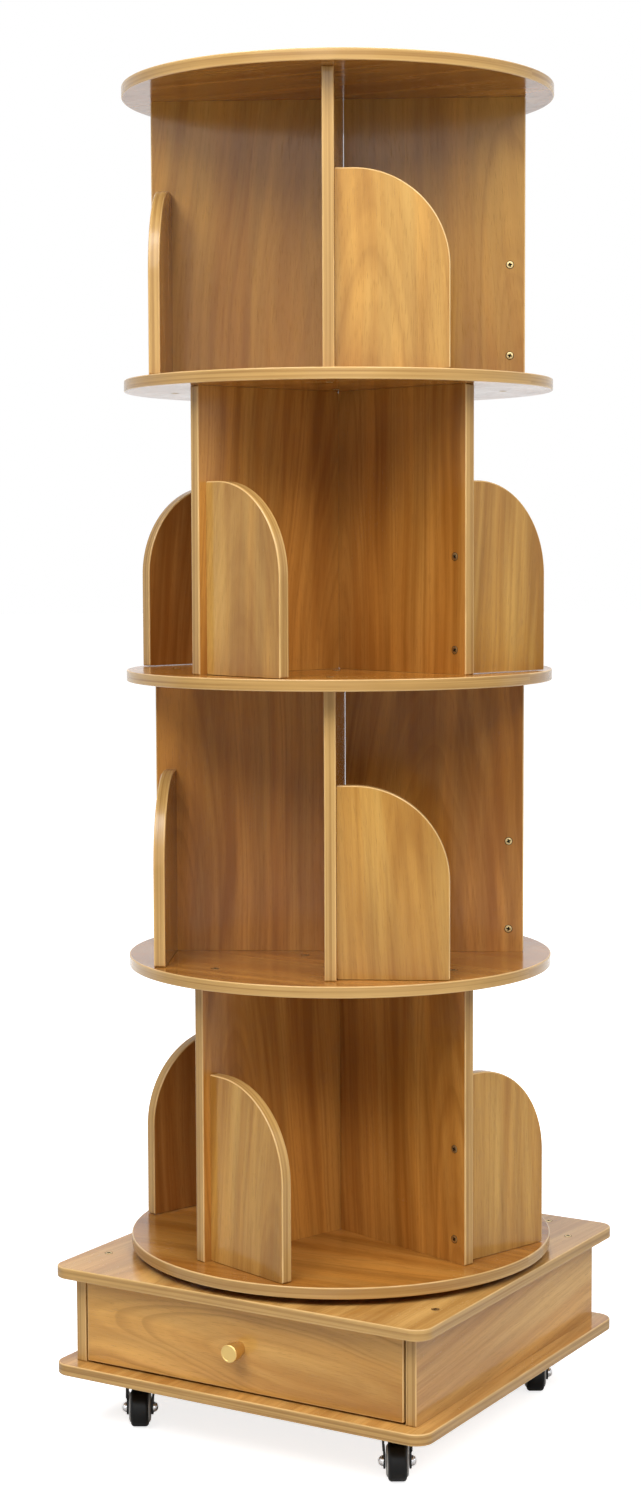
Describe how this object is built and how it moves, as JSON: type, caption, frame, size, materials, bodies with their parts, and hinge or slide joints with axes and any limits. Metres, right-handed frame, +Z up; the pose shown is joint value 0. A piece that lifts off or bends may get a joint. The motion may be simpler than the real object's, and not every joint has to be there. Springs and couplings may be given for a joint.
{
  "type": "revolving bookcase",
  "caption": "Tall round bookcase whose tiers of pinwheel dividers and bookends turn together on a square drawer base that rolls on swivel casters.",
  "frame": {"origin": "on the floor under the column's axis", "axes": "+Z up along the column's axis, -Y the side of the drawer front, +X to the right of the drawer"},
  "size_m": [0.4556, 0.4556, 1.42],
  "materials": {
    "shelf_wood": "semi-gloss wood-grain laminate",
    "divider_wood": "semi-gloss wood-grain laminate",
    "bookend_wood": "semi-gloss wood-grain laminate",
    "base_wood": "semi-gloss wood-grain laminate",
    "drawer_bottom_board": "plain hardboard",
    "knob_brass": "brushed brass",
    "bearing_steel": "dark pressed steel",
    "caster_steel": "gloss black, bright nuts",
    "wheel_black": "satin black tread"
  },
  "bodies": {
    "base": {"turntable_lower_plate": "bearing_steel", "base_top_board": "base_wood", "base_bottom_board": "base_wood", "base_left_side": "base_wood", "base_right_side": "base_wood", "base_back_panel": "base_wood", "caster_front_left_plate": "caster_steel", "caster_front_right_plate": "caster_steel", "caster_back_left_plate": "caster_steel", "caster_back_right_plate": "caster_steel"},
    "column": {"top_board": "shelf_wood", "shelf_1": "shelf_wood", "shelf_2": "shelf_wood", "shelf_3": "shelf_wood", "shelf_4": "shelf_wood", "tier1_divider_a": "divider_wood", "tier1_divider_b": "divider_wood", "tier1_divider_c": "divider_wood", "tier1_divider_d": "divider_wood", "tier1_bookend_a": "bookend_wood", "tier1_bookend_b": "bookend_wood", "tier1_bookend_c": "bookend_wood", "tier1_bookend_d": "bookend_wood", "tier2_divider_a": "divider_wood", "tier2_divider_b": "divider_wood", "tier2_divider_c": "divider_wood", "tier2_divider_d": "divider_wood", "tier2_bookend_a": "bookend_wood", "tier2_bookend_b": "bookend_wood", "tier2_bookend_c": "bookend_wood", "tier2_bookend_d": "bookend_wood", "tier3_divider_a": "divider_wood", "tier3_divider_b": "divider_wood", "tier3_divider_c": "divider_wood", "tier3_divider_d": "divider_wood", "tier3_bookend_a": "bookend_wood", "tier3_bookend_b": "bookend_wood", "tier3_bookend_c": "bookend_wood", "tier3_bookend_d": "bookend_wood", "tier4_divider_a": "divider_wood", "tier4_divider_b": "divider_wood", "tier4_divider_c": "divider_wood", "tier4_divider_d": "divider_wood", "tier4_bookend_a": "bookend_wood", "tier4_bookend_b": "bookend_wood", "tier4_bookend_c": "bookend_wood", "tier4_bookend_d": "bookend_wood", "turntable_upper_plate": "bearing_steel"},
    "drawer": {"drawer_front": "base_wood", "drawer_box": "base_wood", "drawer_bottom": "drawer_bottom_board", "drawer_knob": "knob_brass"},
    "caster_front_left_fork": {"caster_front_left_fork": "caster_steel"},
    "caster_front_left_wheel": {"caster_front_left_wheel": "wheel_black"},
    "caster_front_right_fork": {"caster_front_right_fork": "caster_steel"},
    "caster_front_right_wheel": {"caster_front_right_wheel": "wheel_black"},
    "caster_back_left_fork": {"caster_back_left_fork": "caster_steel"},
    "caster_back_left_wheel": {"caster_back_left_wheel": "wheel_black"},
    "caster_back_right_fork": {"caster_back_right_fork": "caster_steel"},
    "caster_back_right_wheel": {"caster_back_right_wheel": "wheel_black"}
  },
  "joints": [
    {"name": "column_spin", "type": "hinge", "parent": "base", "child": "column", "pos_m": [0, 0, 0.18397], "axis": [0, 0, 1], "continuous": true},
    {"name": "drawer_slide", "type": "slide", "parent": "base", "child": "drawer", "axis": [0, -1, 0], "range_m": [0, 0.28]},
    {"name": "caster_front_left_swivel", "type": "hinge", "parent": "base", "child": "caster_front_left_fork", "pos_m": [-0.1575, -0.1575, 0.05387], "axis": [0, 0, 1], "continuous": true},
    {"name": "caster_front_left_roll", "type": "hinge", "parent": "caster_front_left_fork", "child": "caster_front_left_wheel", "pos_m": [-0.14823, -0.17293, 0.02037], "axis": [0.8572, 0.515, 0], "continuous": true},
    {"name": "caster_front_right_swivel", "type": "hinge", "parent": "base", "child": "caster_front_right_fork", "pos_m": [0.1575, -0.1575, 0.05387], "axis": [0, 0, 1], "continuous": true},
    {"name": "caster_front_right_roll", "type": "hinge", "parent": "caster_front_right_fork", "child": "caster_front_right_wheel", "pos_m": [0.16677, -0.17293, 0.02037], "axis": [0.8572, 0.515, 0], "continuous": true},
    {"name": "caster_back_left_swivel", "type": "hinge", "parent": "base", "child": "caster_back_left_fork", "pos_m": [-0.1575, 0.1575, 0.05387], "axis": [0, 0, 1], "continuous": true},
    {"name": "caster_back_left_roll", "type": "hinge", "parent": "caster_back_left_fork", "child": "caster_back_left_wheel", "pos_m": [-0.14823, 0.14207, 0.02037], "axis": [0.8572, 0.515, 0], "continuous": true},
    {"name": "caster_back_right_swivel", "type": "hinge", "parent": "base", "child": "caster_back_right_fork", "pos_m": [0.1575, 0.1575, 0.05387], "axis": [0, 0, 1], "continuous": true},
    {"name": "caster_back_right_roll", "type": "hinge", "parent": "caster_back_right_fork", "child": "caster_back_right_wheel", "pos_m": [0.16677, 0.14207, 0.02037], "axis": [0.8572, 0.515, 0], "continuous": true}
  ]
}
